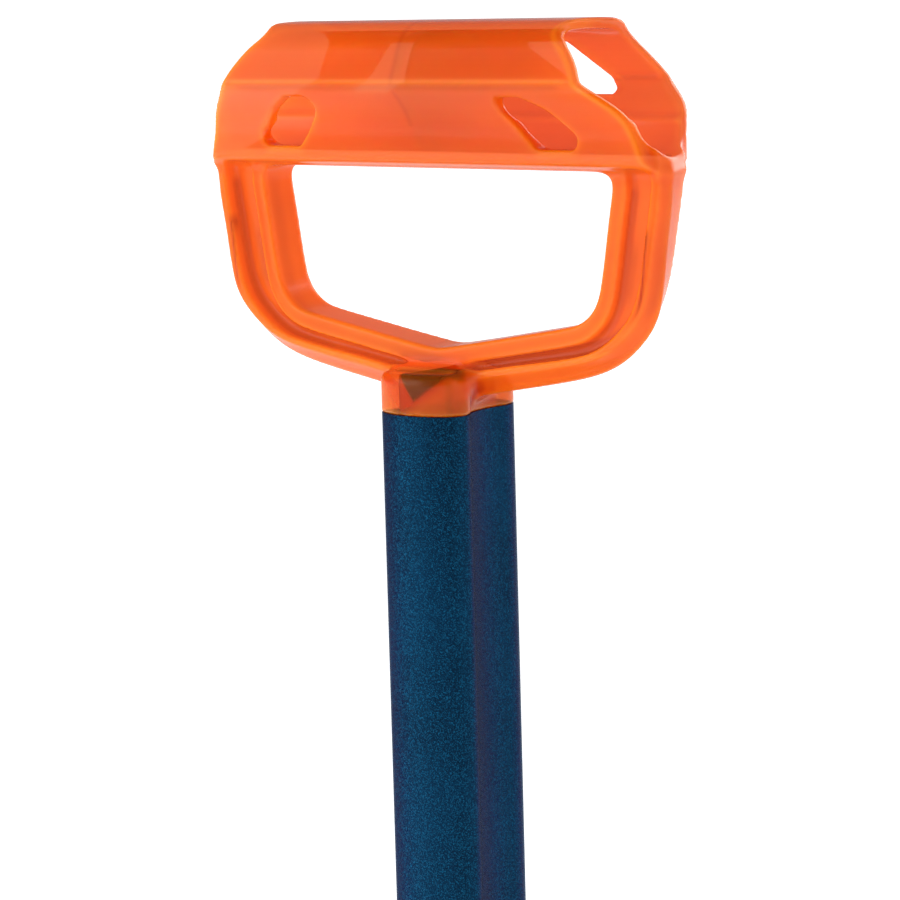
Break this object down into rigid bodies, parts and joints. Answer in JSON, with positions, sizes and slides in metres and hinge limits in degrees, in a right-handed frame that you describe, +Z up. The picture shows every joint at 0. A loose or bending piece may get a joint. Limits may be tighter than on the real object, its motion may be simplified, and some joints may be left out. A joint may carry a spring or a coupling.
{
  "type": "avalanche shovel",
  "caption": "Packable snow shovel: moulded D-grip on a telescopic aluminium shaft, push-button stops, and a dished blade that unplugs from the shaft.",
  "frame": {"origin": "on the centreline of the shaft, level with the tip of the blade", "axes": "+Z up along the shaft towards the grip, -Y is the scoop side of the blade, X runs along the crossbar of the grip"},
  "size_m": [0.2561, 0.0657, 0.8399],
  "materials": {
    "grip_plastic": "satin translucent moulded plastic",
    "rivet_metal": "domed, bare",
    "shaft_paint": "painted: blue fine metallic fleck, satin",
    "black_plastic": "fine moulded texture",
    "lower_anodised": "anodised, satin",
    "pin_steel": "bare spring steel",
    "button_steel": "turned, lightly polished",
    "socket_metal": "bead-blasted, anodised",
    "blade_paint": "painted: blue fine metallic fleck powder coat with worn edges"
  },
  "bodies": {
    "handle": {"d_grip": "grip_plastic", "grip_rivets": "rivet_metal", "upper_shaft": "shaft_paint", "shaft_ferrule": "black_plastic"},
    "lower_pole": {"lower_shaft": "lower_anodised", "shaft_top_insert": "black_plastic", "shaft_bottom_insert": "black_plastic", "top_insert_pin": "pin_steel", "bottom_insert_pin": "pin_steel", "extension_button_spring": "pin_steel", "blade_button_spring": "pin_steel"},
    "extension_button": {"extension_button": "button_steel"},
    "blade_button": {"blade_button": "button_steel"},
    "blade": {"blade": "blade_paint", "blade_socket": "socket_metal", "blade_rivets": "rivet_metal"}
  },
  "joints": [
    {"name": "extension_slide", "type": "slide", "parent": "handle", "child": "lower_pole", "axis": [0, 0, 1], "range_m": [0, 0.145]},
    {"name": "extension_button_press", "type": "slide", "parent": "lower_pole", "child": "extension_button", "axis": [0, -1, 0], "range_m": [0, 0.005], "stiffness_N_per_m": 350, "springref_m": 0.009},
    {"name": "blade_release", "type": "slide", "parent": "lower_pole", "child": "blade", "axis": [0, 0, -1], "range_m": [0, 0.115]},
    {"name": "blade_button_press", "type": "slide", "parent": "lower_pole", "child": "blade_button", "axis": [0, -1, 0], "range_m": [0, 0.005], "stiffness_N_per_m": 350, "springref_m": 0.009}
  ]
}
